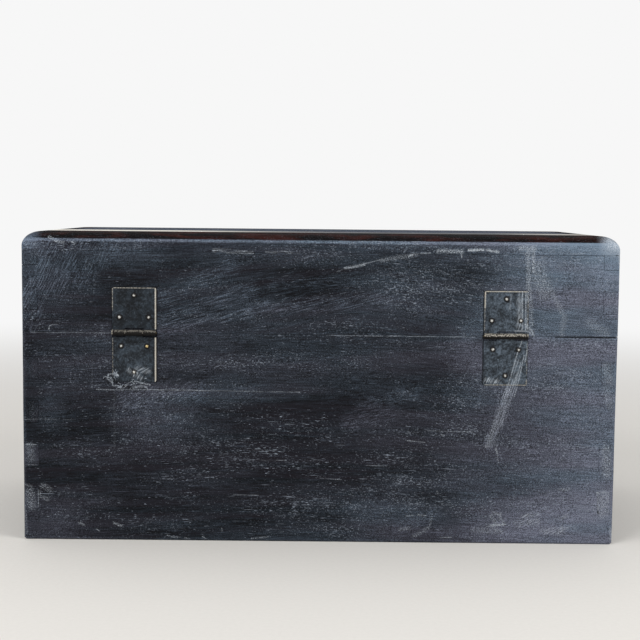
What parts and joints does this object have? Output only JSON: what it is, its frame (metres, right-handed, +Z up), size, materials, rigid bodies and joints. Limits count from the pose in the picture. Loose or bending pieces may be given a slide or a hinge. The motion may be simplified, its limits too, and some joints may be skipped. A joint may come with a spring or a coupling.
{
  "type": "hinged wooden chest",
  "caption": "Small lidded chest of dark hardwood with finger-jointed corners, a rounded top board, inlaid brass butt hinges and a swing hook.",
  "frame": {"origin": "on the surface that the chest stands on, under the middle of the chest", "axes": "+X along the chest, to the right seen from the front, +Y from the front to the hinged back, +Z up"},
  "size_m": [0.38, 0.192, 0.1985],
  "materials": {
    "dark_wood": "oiled and waxed, worn, with open grain",
    "inner_wood": "bare",
    "dull_brass": "tarnished almost black",
    "worn_brass": "tarnished, rubbed bright on the high places"
  },
  "bodies": {
    "case": {"case_back_board": "dark_wood", "case_front_board": "dark_wood", "case_left_board": "dark_wood", "case_right_board": "dark_wood", "case_floor_board": "inner_wood", "left_hinge_case_leaf": "dull_brass", "right_hinge_case_leaf": "dull_brass", "left_hinge_pin": "worn_brass", "right_hinge_pin": "worn_brass", "left_hinge_case_nail_1": "worn_brass", "left_hinge_case_nail_2": "worn_brass", "left_hinge_case_nail_3": "worn_brass", "right_hinge_case_nail_1": "worn_brass", "right_hinge_case_nail_2": "worn_brass", "right_hinge_case_nail_3": "worn_brass", "latch_washer": "dull_brass", "latch_pivot_pin": "worn_brass"},
    "lid": {"lid_back_rail": "dark_wood", "lid_front_rail": "dark_wood", "lid_left_rail": "dark_wood", "lid_right_rail": "dark_wood", "lid_top_board": "dark_wood", "left_hinge_lid_leaf": "dull_brass", "right_hinge_lid_leaf": "dull_brass", "left_hinge_lid_nail_1": "worn_brass", "left_hinge_lid_nail_2": "worn_brass", "left_hinge_lid_nail_3": "worn_brass", "right_hinge_lid_nail_1": "worn_brass", "right_hinge_lid_nail_2": "worn_brass", "right_hinge_lid_nail_3": "worn_brass", "latch_stud": "worn_brass"},
    "hook": {"latch_hook": "worn_brass"}
  },
  "joints": [
    {"name": "lid_hinge", "type": "hinge", "parent": "case", "child": "lid", "pos_m": [0, 0.09415, 0.13475], "axis": [-1, 0, 0], "range_deg": [0, 178]},
    {"name": "hook_swing", "type": "hinge", "parent": "case", "child": "hook", "pos_m": [-0.00115, -0.0944, 0.12381], "axis": [0, 1, 0], "range_deg": [-160, 186]}
  ]
}
